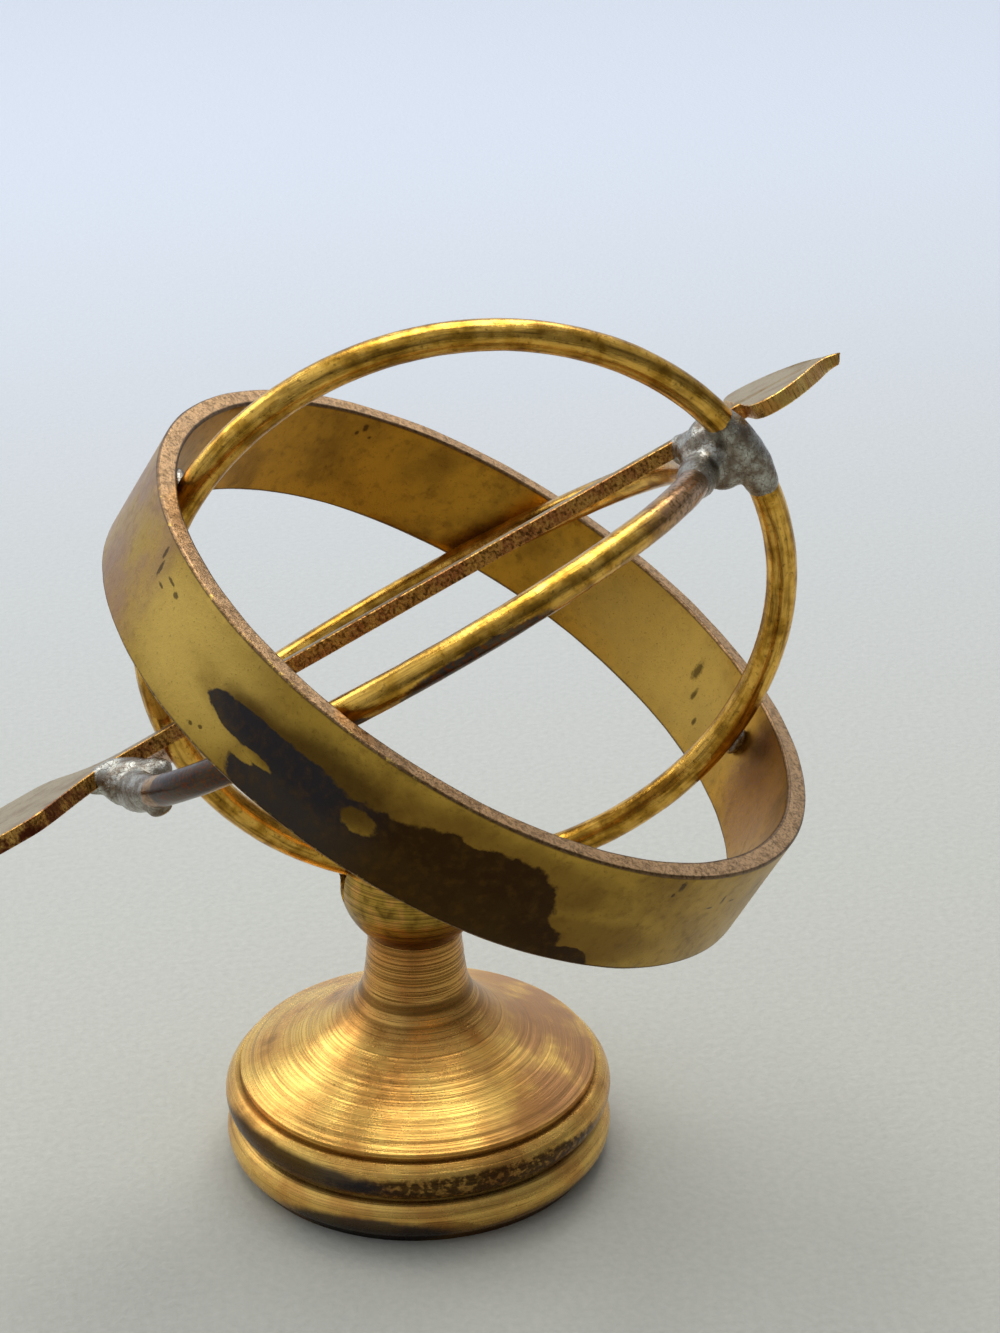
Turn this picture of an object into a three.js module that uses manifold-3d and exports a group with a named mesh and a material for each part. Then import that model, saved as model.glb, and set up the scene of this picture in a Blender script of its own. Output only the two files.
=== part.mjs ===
// Skeleton globe on a turned brass stand: two hoops of round rod, a broad flat band and a
// saw-cut arrow along the globe's axis, soldered together by hand, standing by the vertical
// hoop in the slot of a ball-shaped saddle.
// Millimetres, +Z up. The origin is the centre of the stand's flat underside.
// The vertical hoop runs along X, and the arrow points towards +X.
import * as THREE from 'three';
import { mergeVertices } from 'three/addons/utils/BufferGeometryUtils.js';
import Module from 'manifold-3d';

const wasm = await Module();
wasm.setup();

// Driving dimensions
const ROD_RADIUS = 1.6;
const HOOP_RADIUS = 32;
const GAP = 0.3;                 // clearance left wherever one piece is cut by another

// The globe as it stands: its centre above the stand's underside, and how far it leans
const GLOBE_CENTRE = new THREE.Vector3(5.5, -5.6, 64.2);
const GLOBE_LEAN = 10.1;         // degrees, its top towards -Y
const AXIS_ELEVATION = 28.9;     // degrees, the poles' line above horizontal

// The second hoop passes both poles. It is shifted along the poles' line, so that one of its
// ends lies inside the first hoop and the other end outside.
const COLURE_ROLL = 27.1;        // degrees about the poles' line
const COLURE_SHIFT = new THREE.Vector3(-5, -1.4, 1.9);

// Broad band, the widest ring
const BAND_TILT = 29.5;          // degrees, its axis away from the globe's vertical
const BAND_SHIFT = new THREE.Vector3(0.5, -3.4, -3.5);
const BAND_OUTER_RADIUS = 36.8;
const BAND_THICKNESS = 2.15;
const BAND_WIDTH = 12;
const BAND_EDGE_BREAK = 0.25;

// Arrow, cut out of flat plate
const ARROW_THICKNESS = 1.6;
const ARROW_YAW = 10;            // degrees, so that it passes each side of the first hoop
const ARROW_SIDE_SHIFT = -0.3;
const SHAFT_WIDTH = 2.5;
const HEAD_LENGTH = 11.6;
const HEAD_WIDTH = 21;
const HEAD_SKEW = 1.2;           // the hand-cut head is broader on the side away from -Y
const ARROW_TIP = 50.4;
const TAIL_WIDTH = 22;
const TAIL_END = -52;
const TAIL_START = -31;
const TAIL_NOTCH = 5;

// Stand, turned in brass, and the saddle ball on top of it
const BASE_RADIUS = 20.75;
const BEAD_RADIUS = 2.45;
const LOWER_BEAD_HEIGHT = 2.9;
const UPPER_BEAD_HEIGHT = 7.45;
const RIM_RADIUS = 19.05;
const RIM_HEIGHT = 10.4;
const RIM_STEP = 0.9;
const NECK_RADIUS = 5.0;
const NECK_TOP = 26.2;
const BALL_RADIUS = 7.85;
const BALL_CENTRE = 32.4;
const SADDLE_TOP = 34.6;
const SPIGOT_RADIUS = 2;
const SPIGOT_LENGTH = 6;

// Facets
const TURNED_SEGMENTS = 48;
const HOOP_SEGMENTS = 64;
const ROD_SIDES = 12;
const BLOB_SEGMENTS = 14;

const radians = THREE.MathUtils.degToRad;

const brass = new THREE.MeshStandardMaterial({ color: 0xb08a3c, roughness: 0.38, metalness: 1 });
const warmBrass = new THREE.MeshStandardMaterial({ color: 0xc49a52, roughness: 0.3, metalness: 1 });
const bandBrass = new THREE.MeshStandardMaterial({ color: 0x9a8140, roughness: 0.5, metalness: 1 });
const solderGrey = new THREE.MeshStandardMaterial({ color: 0x8f9090, roughness: 0.5, metalness: 1 });

// Booleans: a closed three.js geometry to a manifold and back
function toManifold(geometry) {
  const bare = geometry.clone();
  bare.deleteAttribute('normal');
  bare.deleteAttribute('uv');
  const merged = mergeVertices(bare, 1e-4);
  return new wasm.Manifold(new wasm.Mesh({
    numProp: 3,
    vertProperties: new Float32Array(merged.attributes.position.array),
    triVerts: new Uint32Array(merged.index.array),
  }));
}

function toGeometry(manifold) {
  const mesh = manifold.getMesh();
  const geometry = new THREE.BufferGeometry();
  geometry.setAttribute('position', new THREE.BufferAttribute(mesh.vertProperties, 3));
  geometry.setIndex(new THREE.BufferAttribute(mesh.triVerts, 1));
  geometry.computeVertexNormals();
  return geometry;
}

// The largest piece left when the tools are cut away
function cut(geometry, tools) {
  const left = tools.reduce((solid, tool) => solid.subtract(toManifold(tool)), toManifold(geometry));
  const pieces = left.decompose().sort((a, b) => b.volume() - a.volume());
  return toGeometry(pieces[0]);
}

function named(name, geometry, material) {
  const mesh = new THREE.Mesh(geometry, material);
  mesh.name = name;
  return mesh;
}

// Points of an arc in a turned profile, from one angle to another, in degrees above horizontal
function arc(radius, height, size, from, to, steps) {
  return Array.from({ length: steps + 1 }, (_, i) => {
    const angle = radians(from + (to - from) * i / steps);
    return new THREE.Vector2(radius + size * Math.cos(angle), height + size * Math.sin(angle));
  });
}

function turned(profile) {
  return new THREE.LatheGeometry(profile, TURNED_SEGMENTS).rotateX(Math.PI / 2);
}

// Stand: two beads round the foot, a hollow-sided cone and a neck bored for the saddle's spigot
function pedestalGeometry() {
  const beadRadius = BASE_RADIUS - BEAD_RADIUS;
  const flare = new THREE.CubicBezierCurve(
    new THREE.Vector2(RIM_RADIUS, RIM_HEIGHT),
    new THREE.Vector2(13.2, 13.6),
    new THREE.Vector2(6.1, 15.6),
    new THREE.Vector2(NECK_RADIUS + 0.45, 21.2),
  );
  const boreRadius = SPIGOT_RADIUS + GAP;
  const boreFloor = NECK_TOP - SPIGOT_LENGTH - GAP;
  return turned([
    new THREE.Vector2(0, 0),
    new THREE.Vector2(beadRadius + 0.9, 0),
    ...arc(beadRadius, LOWER_BEAD_HEIGHT, BEAD_RADIUS, -60, 62, 6),
    ...arc(beadRadius, UPPER_BEAD_HEIGHT, BEAD_RADIUS, -62, 58, 6),
    new THREE.Vector2(RIM_RADIUS, RIM_HEIGHT - RIM_STEP),
    ...flare.getPoints(9),
    new THREE.Vector2(NECK_RADIUS, NECK_TOP - 1),
    new THREE.Vector2(NECK_RADIUS, NECK_TOP),
    new THREE.Vector2(boreRadius, NECK_TOP),
    new THREE.Vector2(boreRadius, boreFloor),
    new THREE.Vector2(0, boreFloor),
  ]);
}

// Saddle: a ball with a flat top, its spigot below, before the slot is cut
function saddleBlank() {
  const seat = NECK_TOP + GAP / 2;
  const lowest = -THREE.MathUtils.radToDeg(Math.acos(NECK_RADIUS / BALL_RADIUS));
  const highest = THREE.MathUtils.radToDeg(Math.asin((SADDLE_TOP - BALL_CENTRE) / BALL_RADIUS));
  return turned([
    new THREE.Vector2(0, NECK_TOP - SPIGOT_LENGTH),
    new THREE.Vector2(SPIGOT_RADIUS, NECK_TOP - SPIGOT_LENGTH),
    new THREE.Vector2(SPIGOT_RADIUS, seat),
    new THREE.Vector2(NECK_RADIUS, seat),
    ...arc(0, BALL_CENTRE, BALL_RADIUS, lowest, highest, 8),
    new THREE.Vector2(0, SADDLE_TOP),
  ]);
}

// A hoop of rod in its own XY plane
function hoopGeometry(rodRadius) {
  return new THREE.TorusGeometry(HOOP_RADIUS, rodRadius, ROD_SIDES, HOOP_SEGMENTS);
}

// The band about its own Z axis, with its sharp edges broken; margin makes it larger all over
function bandGeometry(margin = 0) {
  const outer = BAND_OUTER_RADIUS + margin;
  const inner = BAND_OUTER_RADIUS - BAND_THICKNESS - margin;
  const half = BAND_WIDTH / 2 + margin;
  const edge = BAND_EDGE_BREAK;
  const corners = [
    [inner, -half + edge], [inner + edge, -half], [outer - edge, -half], [outer, -half + edge],
    [outer, half - edge], [outer - edge, half], [inner + edge, half], [inner, half - edge],
  ].map(([r, z]) => new THREE.Vector2(r, z));
  return turned([...corners, corners[0]]);
}

// One side of the arrow's outline, from the notch in its tail to its tip; side is 1 or -1
function arrowSide(side, margin) {
  const shaft = SHAFT_WIDTH / 2 + margin;
  const barb = HEAD_WIDTH / 2 + margin;
  const fletch = TAIL_WIDTH / 2 + margin;
  const neck = TAIL_START + margin;
  const back = ARROW_TIP - HEAD_LENGTH - margin;
  const headY = (halfWidth) => side * halfWidth + HEAD_SKEW;
  const run = new THREE.Path();
  run.moveTo(TAIL_END + TAIL_NOTCH, 0);
  run.lineTo(TAIL_END, side * fletch);
  run.lineTo(neck - 11, side * fletch);
  run.bezierCurveTo(neck - 7.5, side * fletch, neck - 5.5, side * shaft, neck, side * shaft);
  run.lineTo(back, side * shaft);
  run.lineTo(back, headY(barb - 3));
  run.quadraticCurveTo(back + 0.3, headY(barb), back + 2.2, headY(barb));
  run.bezierCurveTo(back + 5, headY(barb), ARROW_TIP - 3.6, headY(5), ARROW_TIP - 1.4, side * 0.8);
  return run.getPoints(6);
}

// The whole outline, up one side and back down the other; margin makes it wider
function arrowShape(margin) {
  const tip = new THREE.Vector2(ARROW_TIP, 0);
  return new THREE.Shape([
    ...arrowSide(-1, margin),
    tip,
    ...arrowSide(1, margin).slice(1).reverse(),
  ]);
}

// The arrow lying on its XY plane; margin makes it larger all over
function arrowGeometry(margin = 0) {
  const geometry = new THREE.ExtrudeGeometry(arrowShape(margin), {
    depth: ARROW_THICKNESS + 2 * margin, bevelEnabled: false,
  });
  return geometry.translate(0, 0, -margin);
}

function blob(centre, halfSizes) {
  return new THREE.SphereGeometry(1, BLOB_SEGMENTS, BLOB_SEGMENTS / 2).scale(...halfSizes).translate(...centre);
}

// Frames: the globe, the poles' line in it, and the second hoop's plane about that line
const root = new THREE.Group();
const globe = new THREE.Group();
globe.position.copy(GLOBE_CENTRE);
globe.rotation.x = radians(GLOBE_LEAN);
root.add(globe);

const poles = new THREE.Group();
poles.rotation.y = -radians(AXIS_ELEVATION);
globe.add(poles);

const colurePlane = new THREE.Group();
colurePlane.rotation.x = -radians(COLURE_ROLL);
poles.add(colurePlane);

const bandPlane = new THREE.Group();
bandPlane.rotation.y = radians(BAND_TILT);
globe.add(bandPlane);

// The globe's metal pieces
const meridian = named('meridian_hoop', hoopGeometry(ROD_RADIUS), brass);
meridian.rotation.x = Math.PI / 2;
globe.add(meridian);

const colure = named('polar_hoop', hoopGeometry(ROD_RADIUS), brass);
colure.position.copy(COLURE_SHIFT);
colurePlane.add(colure);

const band = named('broad_band', bandGeometry(), bandBrass);
band.position.copy(BAND_SHIFT);
bandPlane.add(band);

const arrow = named('axis_arrow', arrowGeometry(), brass);
arrow.position.copy(COLURE_SHIFT);
arrow.position.y += ARROW_SIDE_SHIFT;
arrow.position.z += ROD_RADIUS + GAP;
arrow.rotation.z = radians(ARROW_YAW);
colurePlane.add(arrow);

root.updateMatrixWorld(true);

// A tool that belongs to one piece, seen from another frame
function toolIn(frame, piece, geometry) {
  const toFrame = frame.matrixWorld.clone().invert().multiply(piece.matrixWorld);
  return geometry.clone().applyMatrix4(toFrame);
}

// The saddle's slot is as wide as the rod with its clearance, and lies in the vertical hoop's plane
function cutSaddle() {
  const slotWidth = 2 * (ROD_RADIUS + GAP);
  const slotFloor = -(HOOP_RADIUS + ROD_RADIUS + GAP);
  const slotDepth = 12;
  const slot = new THREE.BoxGeometry(4 * BALL_RADIUS, slotWidth, slotDepth)
    .translate(-GLOBE_CENTRE.x, 0, slotFloor + slotDepth / 2);
  return cut(saddleBlank(), [toolIn(root, globe, slot)]);
}

// Stand pieces
root.add(named('pedestal', toGeometry(toManifold(pedestalGeometry())), warmBrass));
root.add(named('saddle_ball', cutSaddle(), brass));

// Solder: blobs cut back from the pieces that they join
function addSolder(name, frame, blobs, pieces) {
  const tools = pieces.map(([piece, tool]) => toolIn(frame, piece, tool));
  const whole = blobs.slice(1).reduce((sum, part) => sum.add(toManifold(part)), toManifold(blobs[0]));
  frame.add(named(name, cut(toGeometry(whole), tools), solderGrey));
}

const hoopTool = hoopGeometry(ROD_RADIUS + GAP);
const bandTool = bandGeometry(GAP);
const arrowTool = arrowGeometry(GAP);

addSolder('upper_pole_solder', poles, [
  blob([29.6, -0.5, 1.6], [3.4, 2.4, 4.4]),
  blob([27.4, 2.6, 2.4], [2.6, 4.2, 2.4]),
], [[meridian, hoopTool], [colure, hoopTool], [arrow, arrowTool]]);

addSolder('lower_pole_solder', colurePlane, [
  blob([-37.6, -8.9, 4.2], [3.4, 2.2, 1.7]),
  blob([-36.2, -8.6, 2.5], [3, 3.2, 2.5]),
], [[colure, hoopTool], [arrow, arrowTool]]);

addSolder('band_solder_left', bandPlane, [
  blob([-33.2, 1.5, 1.2], [1.6, 2.6, 1.7]),
], [[meridian, hoopTool], [band, bandTool]]);

addSolder('band_solder_right', bandPlane, [
  blob([34.2, 0.4, -3], [1.5, 1.7, 3.2]),
], [[meridian, hoopTool], [band, bandTool]]);

export default root;
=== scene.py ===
"""Skeleton globe on a turned brass stand: the fine surfaces and the looks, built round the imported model.

Lengths are in millimetres until a mesh is made, and every piece takes its place and its main sizes
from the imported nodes. Each piece has its own local frame, and its material reads places in that frame.
"""
import math

import bmesh
import bpy
import numpy as np
from mathutils import Matrix, Quaternion, Vector, noise


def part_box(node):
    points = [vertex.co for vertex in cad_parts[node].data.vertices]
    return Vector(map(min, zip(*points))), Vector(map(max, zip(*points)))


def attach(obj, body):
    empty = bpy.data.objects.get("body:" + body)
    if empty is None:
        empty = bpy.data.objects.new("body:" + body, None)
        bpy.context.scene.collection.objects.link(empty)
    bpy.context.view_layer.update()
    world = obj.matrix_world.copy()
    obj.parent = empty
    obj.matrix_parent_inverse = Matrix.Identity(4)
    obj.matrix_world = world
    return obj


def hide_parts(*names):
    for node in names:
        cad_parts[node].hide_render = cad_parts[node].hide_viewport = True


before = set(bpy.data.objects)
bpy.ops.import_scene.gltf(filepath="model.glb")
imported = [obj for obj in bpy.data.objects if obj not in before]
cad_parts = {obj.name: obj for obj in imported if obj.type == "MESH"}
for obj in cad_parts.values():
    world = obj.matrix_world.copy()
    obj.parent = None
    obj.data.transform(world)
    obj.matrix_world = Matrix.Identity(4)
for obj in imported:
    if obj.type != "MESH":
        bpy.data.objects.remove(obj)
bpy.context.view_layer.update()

MM = 0.001                       # metres in a millimetre

# Camera: where it looks, from how far and from which side, in millimetres and degrees
AIM = (6.27, -3.45, 69.36)
CAMERA_DISTANCE = 316.4
CAMERA_AZIMUTH = -8.914
CAMERA_ELEVATION = 23.127
CAMERA_ROLL = -0.899
LENS = 85.65
SHIFT = (0.0208, -0.0799)

# Turned stand: radii and heights of its profile
BEAD_RADIUS = 2.45
BEAD_HEIGHTS = (2.9, 7.45)
RIM_RADIUS = 19.05               # of the cone's lower edge, above the beads
RIM_HEIGHT = 10.4
RIM_STEP = 0.9                   # depth of the step under the cone's edge
NECK_RADIUS = 5.0
NECK_TOP = 26.2
FLARE = ((RIM_RADIUS, RIM_HEIGHT), (13.2, 13.6), (6.1, 15.6), (5.45, 21.2))
BORE_RADIUS = 2.3
BORE_FLOOR = 19.9
SPIGOT_RADIUS = 2.0
BALL_RADIUS = 7.85
BALL_CENTRE = 32.4
BROKEN_EDGE = 0.06               # how far the turned pieces' sharp edges are broken
SEAT_GAP = 0.02                  # between the neck's top and the ball's underside
TURNED_SEGMENTS = 224

# Slot across the ball
SLOT_CLEARANCE = 0.3
SLOT_FILLET = 0.7
SLOT_DEPTH = 12.0
SLOT_HALF_LENGTH = 20.0

# Rods and band
HOOP_STATIONS = 420
BAND_EDGE = 0.28                 # radius of the band's worn corners
BAND_STATIONS = 640

# Arrow outline, along its own axis
HEAD_LENGTH = 11.6
SHAFT_WIDTH = 2.5
TAIL_WIDTH = 22.0
TAIL_FLAT = 10.0                 # straight part of the fletching, from the tail's end
TAIL_LENGTH = 21.0
TAIL_NOTCH = 5.0
TIP_WIDTH = 0.5
TIP_WEAR_LENGTH = 3.5
TIP_DROOP = 0.6                  # how far the plate's top is worn down at the tip
TIP_STEP = 0.6                   # how far its underside is cut back there
PLATE_CORNER = 0.09              # how far the plate's edges are broken
CORNER_REACH = 1.2               # the saw's strokes fade out this near a sharp corner of the outline

# Room light, as linear colours
SKY_DIM = (0.15, 0.15, 0.15, 1)
SKY_BRIGHT = (0.8, 0.85, 0.92, 1)


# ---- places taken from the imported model

def triangles(node):
    """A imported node's triangles as an array of corners, in metres."""
    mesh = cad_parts[node].data
    mesh.calc_loop_triangles()
    points = np.array([v.co for v in mesh.vertices])
    return points[np.array([t.vertices for t in mesh.loop_triangles])]


def moments(node):
    """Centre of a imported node's surface and its axes, from the shortest way to the longest, in metres."""
    corners = triangles(node)
    a, b, c = corners[:, 0], corners[:, 1], corners[:, 2]
    area = np.linalg.norm(np.cross(b - a, c - a), axis=1) / 2
    total = a + b + c
    centre = (total / 3 * area[:, None]).sum(0) / area.sum()
    a, b, c, total = a - centre, b - centre, c - centre, total - 3 * centre
    spread = sum(np.einsum("t,ti,tj->ij", area / 12, v, v) for v in (a, b, c, total))
    axes = np.linalg.eigh(spread)[1].T
    return Vector(centre), [Vector(axis) for axis in axes]


def facing(axis, way):
    return axis if axis.dot(Vector(way)) > 0 else -axis


def place(origin, x, z):
    """A frame with its origin there, its Z along z and its X as near x as that allows."""
    z = z.normalized()
    x = (x - z * x.dot(z)).normalized()
    rows = Matrix((x, z.cross(x), z)).transposed().to_4x4()
    rows.translation = origin
    return rows


def local_points(node, where):
    """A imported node's points in a local frame, in millimetres."""
    inverse = where.inverted()
    return np.array([inverse @ v.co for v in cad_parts[node].data.vertices]) / MM


def arrow_frame():
    """The arrow's frame: Z out of the plate, X along its shaft's straight sides, midway between them."""
    normal = facing(moments("axis_arrow")[1][0], UP)
    out = np.array(normal)
    corners = triangles("axis_arrow")
    cross = np.cross(corners[:, 1] - corners[:, 0], corners[:, 2] - corners[:, 0])
    area = np.linalg.norm(cross, axis=1)
    ways = cross / area[:, None]
    on_edge = np.abs(ways @ out) < 0.1
    longest = area > area[on_edge].max() / 2
    side = ways[np.argmax(area * on_edge)]
    middle = corners.mean(axis=1)
    left = (middle @ side)[(ways @ side > 0.9999) & longest].mean()
    right = (middle @ side)[(ways @ side < -0.9999) & longest].mean()
    centre = middle.mean(axis=0)
    centre = centre + side * ((left + right) / 2 - centre @ side)
    levels = corners.reshape(-1, 3) @ out
    centre = centre + out * ((levels.min() + levels.max()) / 2 - centre @ out)
    along = facing(Vector(np.cross(side, out)), EAST)
    return place(Vector(centre), along, normal)


UP = (0, 0, 1)
EAST = (1, 0, 0)
globe_centre, meridian_axes = moments("meridian_hoop")
colure_centre, colure_axes = moments("polar_hoop")
band_centre, band_axes = moments("broad_band")

meridian_normal = facing(meridian_axes[0], UP)
colure_normal = facing(colure_axes[0], UP)
poles_line = facing(meridian_normal.cross(colure_normal), EAST)

MERIDIAN = place(globe_centre, poles_line, meridian_normal)
POLES = place(globe_centre, poles_line, poles_line.cross(meridian_normal))
COLURE = place(colure_centre, poles_line, colure_normal)
BAND = place(band_centre, Vector(EAST), facing(band_axes[0], UP))
ARROW = arrow_frame()

hoop = local_points("meridian_hoop", MERIDIAN)
ROD_RADIUS = np.abs(hoop[:, 2]).max()
HOOP_RADIUS = np.hypot(hoop[:, 0], hoop[:, 1]).max() - ROD_RADIUS

ring = local_points("broad_band", BAND)
BAND_OUTER = np.hypot(ring[:, 0], ring[:, 1]).max()
BAND_INNER = np.hypot(ring[:, 0], ring[:, 1]).min()
BAND_HALF = np.abs(ring[:, 2]).max()

plate = local_points("axis_arrow", ARROW)
ARROW_TIP = plate[:, 0].max()
ARROW_END = plate[:, 0].min()
head = plate[plate[:, 0] > 0]
HEAD_WIDTH = head[:, 1].max() - head[:, 1].min()
HEAD_SKEW = (head[:, 1].max() + head[:, 1].min()) / 2
ARROW_HALF = np.abs(plate[:, 2]).max()

BASE_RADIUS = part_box("pedestal")[1].x / MM
SADDLE_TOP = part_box("saddle_ball")[1].z / MM
SPIGOT_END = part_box("saddle_ball")[0].z / MM


# ---- mesh helpers

def loft(rows, capped):
    """Points and faces of a closed skin over equal loops, joined to the first or capped at both ends."""
    rows = np.asarray(rows, float)
    count, size = rows.shape[:2]
    faces = []
    for i in range(count - 1 if capped else count):
        start, after = i * size, (i + 1) % count * size
        for j in range(size):
            k = (j + 1) % size
            faces.append((start + j, start + k, after + k, after + j))
    if capped:
        faces.append(tuple(reversed(range(size))))
        faces.append(tuple(range((count - 1) * size, count * size)))
    return rows.reshape(-1, 3), faces


def new_mesh(name, points, faces):
    """A mesh in metres with its faces pointing out."""
    mesh = bpy.data.meshes.new(name)
    mesh.from_pydata((np.asarray(points) * MM).tolist(), [], faces)
    work = bmesh.new()
    work.from_mesh(mesh)
    bmesh.ops.recalc_face_normals(work, faces=work.faces)
    work.to_mesh(mesh)
    work.free()
    return mesh


def add_piece(name, mesh, where, materials, body, node, sharp=35):
    """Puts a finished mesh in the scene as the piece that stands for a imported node.

    The mesh comes in its own local frame, which it keeps as an attribute for its material to read."""
    mesh.name = name
    local = mesh.attributes.new("local", "FLOAT_VECTOR", "POINT")
    points = np.zeros(len(mesh.vertices) * 3, np.float32)
    mesh.vertices.foreach_get("co", points)
    local.data.foreach_set("vector", points)
    mesh.transform(where)
    mesh.shade_smooth()
    mesh.set_sharp_from_angle(angle=math.radians(sharp))
    for material in materials:
        mesh.materials.append(material)
    piece = bpy.data.objects.new(name, mesh)
    bpy.context.scene.collection.objects.link(piece)
    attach(piece, body)
    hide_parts(node)
    return piece


def with_modifiers(mesh, setups):
    """The mesh after some modifiers, each given as its kind and its settings."""
    holder = bpy.data.objects.new("holder", mesh)
    bpy.context.scene.collection.objects.link(holder)
    for kind, settings in setups:
        modifier = holder.modifiers.new(kind, kind)
        for key, value in settings.items():
            setattr(modifier, key, value)
    depsgraph = bpy.context.evaluated_depsgraph_get()
    result = bpy.data.meshes.new_from_object(holder.evaluated_get(depsgraph))
    bpy.data.objects.remove(holder)
    return result


def roughen(mesh, depth, size, seed):
    """Moves each point along its normal, inwards only, by a smooth noise with lumps of that size."""
    mesh.update()
    offset = Vector((seed * 7.3, seed * 3.1, seed * 5.7))
    moved = []
    for vertex in mesh.vertices:
        wave = noise.noise(vertex.co / (size * MM) + offset)
        moved.append(vertex.co - vertex.normal * depth * MM * (0.5 + 0.5 * wave))
    for vertex, point in zip(mesh.vertices, moved):
        vertex.co = point


def arc(radius, height, size, start, stop, spacing=0.15):
    """Profile points round a circle of that size, between two angles in degrees."""
    count = max(3, round(abs(math.radians(stop - start)) * size / spacing))
    turn = np.radians(np.linspace(start, stop, count + 1))
    return np.stack([radius + size * np.cos(turn), height + size * np.sin(turn)], axis=1)


def bezier(points, count):
    """Points along the cubic curve that four points steer."""
    a, b, c, d = (np.array(p, float) for p in points)
    t = np.linspace(0, 1, count + 1)[:, None]
    return (1 - t) ** 3 * a + 3 * t * (1 - t) ** 2 * b + 3 * t * t * (1 - t) * c + t ** 3 * d


def line(start, stop, spacing=0.15):
    """Evenly spaced points from start to stop, both included."""
    start, stop = np.array(start, float), np.array(stop, float)
    count = max(1, round(np.linalg.norm(stop - start) / spacing))
    return start + np.linspace(0, 1, count + 1)[:, None] * (stop - start)


def turned_rows(profile):
    """Loops of points for a profile of radius and height turned about Z."""
    turn = np.linspace(0, 2 * math.pi, TURNED_SEGMENTS, endpoint=False)
    circle = np.stack([np.cos(turn), np.sin(turn), 0 * turn], axis=1)
    return [circle * radius + (0, 0, height) for radius, height in profile]


def tool_marks(profile, pitch, depth, seed):
    """The profile with fine grooves cut into it, of uneven depth, about a pitch apart."""
    profile = np.asarray(profile, float)
    step = np.gradient(profile, axis=0)
    step /= np.linalg.norm(step, axis=1)[:, None] + 1e-9
    inward = np.stack([-step[:, 1], step[:, 0]], axis=1)
    run = np.concatenate([[0], np.cumsum(np.linalg.norm(np.diff(profile, axis=0), axis=1))])
    chance = np.random.RandomState(seed)
    knots = np.arange(0, run[-1] + pitch, pitch / 2)
    groove = np.interp(run, knots, chance.rand(len(knots)) ** 2)
    fade = np.clip(np.minimum(run, run[-1] - run) / pitch, 0, 1)
    return profile + inward * (groove * fade * depth)[:, None]


# ---- turned stand

def pedestal_mesh():
    """The foot's two beads, the cone that sweeps up to the neck, and the bore for the ball's spigot."""
    bead = BASE_RADIUS - BEAD_RADIUS
    lower, upper = BEAD_HEIGHTS
    underside = bead + 0.9       # radius of the flat that stands on the table
    collar = 1.0                 # plain length under the neck's top
    profile = np.concatenate([
        [(underside, 0)],
        arc(bead, lower, BEAD_RADIUS, -60, 62),
        arc(bead, upper, BEAD_RADIUS, -62, 58),
        [(RIM_RADIUS, RIM_HEIGHT - RIM_STEP), (RIM_RADIUS, RIM_HEIGHT - 2 * BROKEN_EDGE)],
        tool_marks(bezier(FLARE, 220), 0.5, 0.05, 3),
        tool_marks(line(FLARE[3], (NECK_RADIUS, NECK_TOP - collar), 0.1), 0.55, 0.1, 5),
        line((NECK_RADIUS, NECK_TOP - collar + 0.1), (NECK_RADIUS, NECK_TOP - 0.1)),
        [(NECK_RADIUS - BROKEN_EDGE, NECK_TOP), (BORE_RADIUS, NECK_TOP), (BORE_RADIUS, BORE_FLOOR)],
    ])
    return new_mesh("pedestal", *loft(turned_rows(profile), capped=True))


def slot_cutter():
    """A bar in the row frame that clears the vertical hoop's rod, with a fillet along each lower corner."""
    half = ROD_RADIUS + SLOT_CLEARANCE
    floor = HOOP_RADIUS + ROD_RADIUS + SLOT_CLEARANCE
    flat, low = half - SLOT_FILLET, floor - SLOT_FILLET
    bends = [(SLOT_FILLET * math.cos(t), SLOT_FILLET * math.sin(t)) for t in (0.5, 1.05)]
    section = [(-half, floor - SLOT_DEPTH), (half, floor - SLOT_DEPTH), (half, low)]
    section += [(flat + across, low + deep) for across, deep in bends]
    section += [(flat, floor), (-flat, floor)]
    section += [(-flat - deep, low + across) for across, deep in bends]
    section += [(-half, low)]
    ends = (-SLOT_HALF_LENGTH, SLOT_HALF_LENGTH)
    rows = [[(deep, along, across) for across, deep in section] for along in ends]
    cutter = new_mesh("cutter", *loft(rows, capped=True))
    down = -Vector(UP) + meridian_normal * meridian_normal.z
    cutter.transform(place(globe_centre, down, meridian_normal))
    return cutter


def saddle_mesh():
    """The ball on its spigot, with a slot filed across it in the vertical hoop's plane."""
    seat = NECK_TOP + SEAT_GAP
    lowest = -math.degrees(math.acos(NECK_RADIUS / BALL_RADIUS))
    highest = math.degrees(math.asin((SADDLE_TOP - BALL_CENTRE) / BALL_RADIUS))
    profile = np.concatenate([
        [(SPIGOT_RADIUS, SPIGOT_END), (SPIGOT_RADIUS, seat), (NECK_RADIUS - BROKEN_EDGE, seat)],
        tool_marks(arc(0, BALL_CENTRE, BALL_RADIUS, lowest, highest), 0.5, 0.06, 9),
        line((BALL_RADIUS * math.cos(math.radians(highest)) - 0.2, SADDLE_TOP), (0.4, SADDLE_TOP), 0.6),
    ])
    ball = new_mesh("saddle", *loft(turned_rows(profile), capped=True))

    tool = bpy.data.objects.new("cutter", slot_cutter())
    bpy.context.scene.collection.objects.link(tool)
    cut = with_modifiers(ball, [("BOOLEAN", {"object": tool, "operation": "DIFFERENCE", "solver": "EXACT"})])
    bpy.data.objects.remove(tool)
    return cut


# ---- hoops and band

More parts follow.
